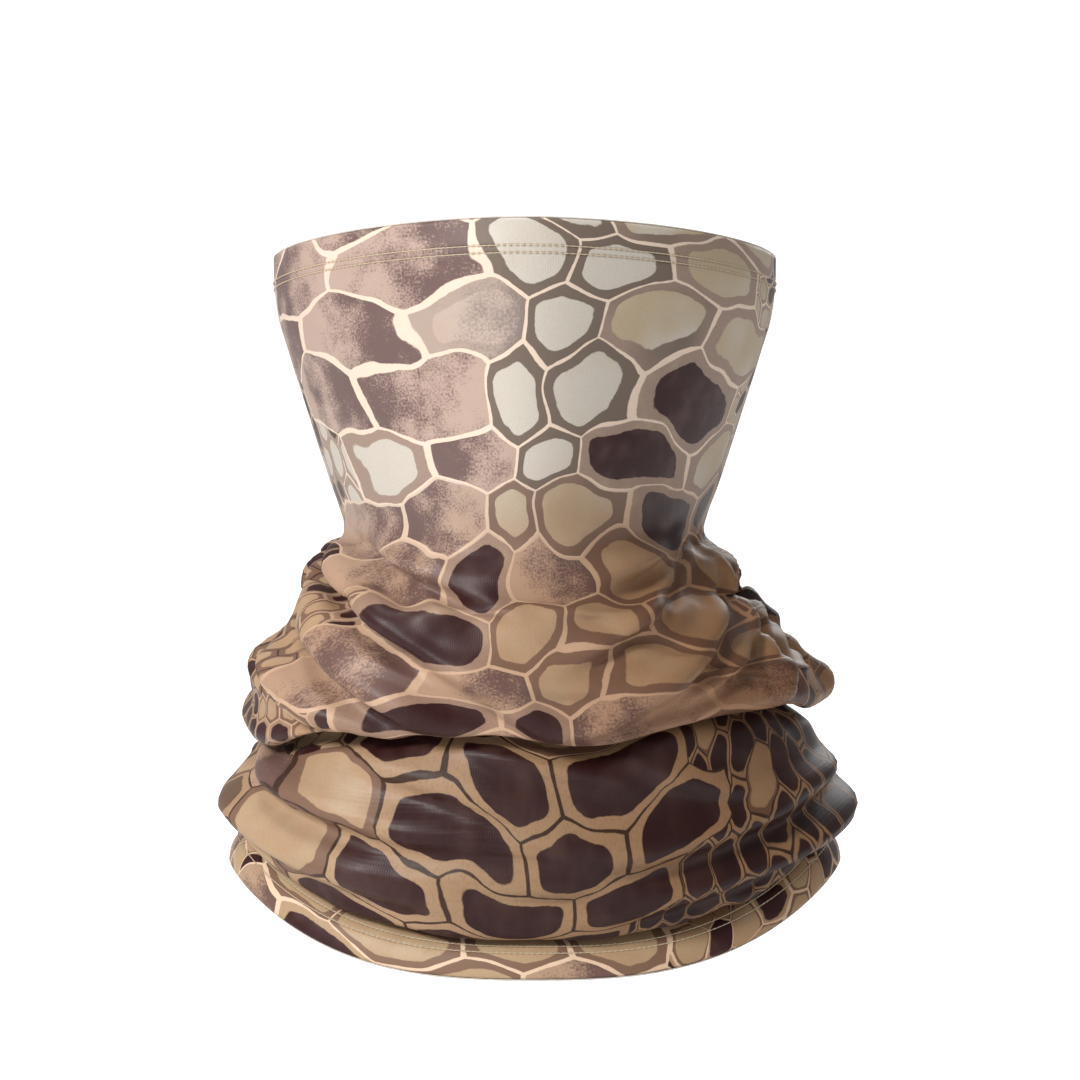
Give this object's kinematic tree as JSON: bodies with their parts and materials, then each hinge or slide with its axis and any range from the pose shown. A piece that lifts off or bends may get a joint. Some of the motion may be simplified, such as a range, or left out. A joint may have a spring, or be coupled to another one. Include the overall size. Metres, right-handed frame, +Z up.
{
  "type": "neck gaiter face mask",
  "caption": "Tubular stretch-knit face mask with hemmed ends and a scale-pattern camouflage print, worn shape: smooth face, gathered neck, draped folds below.",
  "frame": {"origin": "on the axis of the wearer's neck, at the height where the tube is narrowest", "axes": "+Z up towards the rim over the face, -Y the way the face looks, +X to the wearer's left"},
  "size_m": [0.2008, 0.1965, 0.2289],
  "materials": {
    "printed_knit": "smooth polyester stretch knit with a light sheen, printed outside",
    "knit_back": "unprinted back of the same knit, matt",
    "sewing_thread": "spun polyester thread"
  },
  "bodies": {
    "collar": {"neck_roll": "printed_knit", "upper_drape": "printed_knit", "upper_tuck": "printed_knit", "lower_drape": "printed_knit", "lower_tuck": "printed_knit", "face_panel": "printed_knit", "back_seam_allowance_upper": "knit_back", "back_seam_allowance_lower": "knit_back", "back_seam_overlock_upper": "sewing_thread", "back_seam_overlock_lower": "sewing_thread"},
    "top_band": {"top_hem_face": "printed_knit", "top_hem_turning": "knit_back", "top_hem_outer_needle_thread": "sewing_thread", "top_hem_inner_needle_thread": "sewing_thread", "top_hem_looper_thread": "sewing_thread"},
    "bottom_band": {"bottom_hem_face": "printed_knit", "bottom_hem_turning": "knit_back", "bottom_hem_outer_needle_thread": "sewing_thread", "bottom_hem_inner_needle_thread": "sewing_thread", "bottom_hem_looper_thread": "sewing_thread"}
  },
  "joints": [
    {"name": "face_cover_pull_down", "type": "slide", "parent": "collar", "child": "top_band", "axis": [0, 0, 1], "range_m": [-0.06, 0], "deforming": ["face_panel", "back_seam_allowance_upper", "back_seam_overlock_upper"]},
    {"name": "collar_hem_pull_down", "type": "slide", "parent": "collar", "child": "bottom_band", "axis": [0, 0, 1], "range_m": [-0.04, 0], "deforming": ["lower_drape", "lower_tuck", "back_seam_allowance_lower", "back_seam_overlock_lower"]}
  ]
}
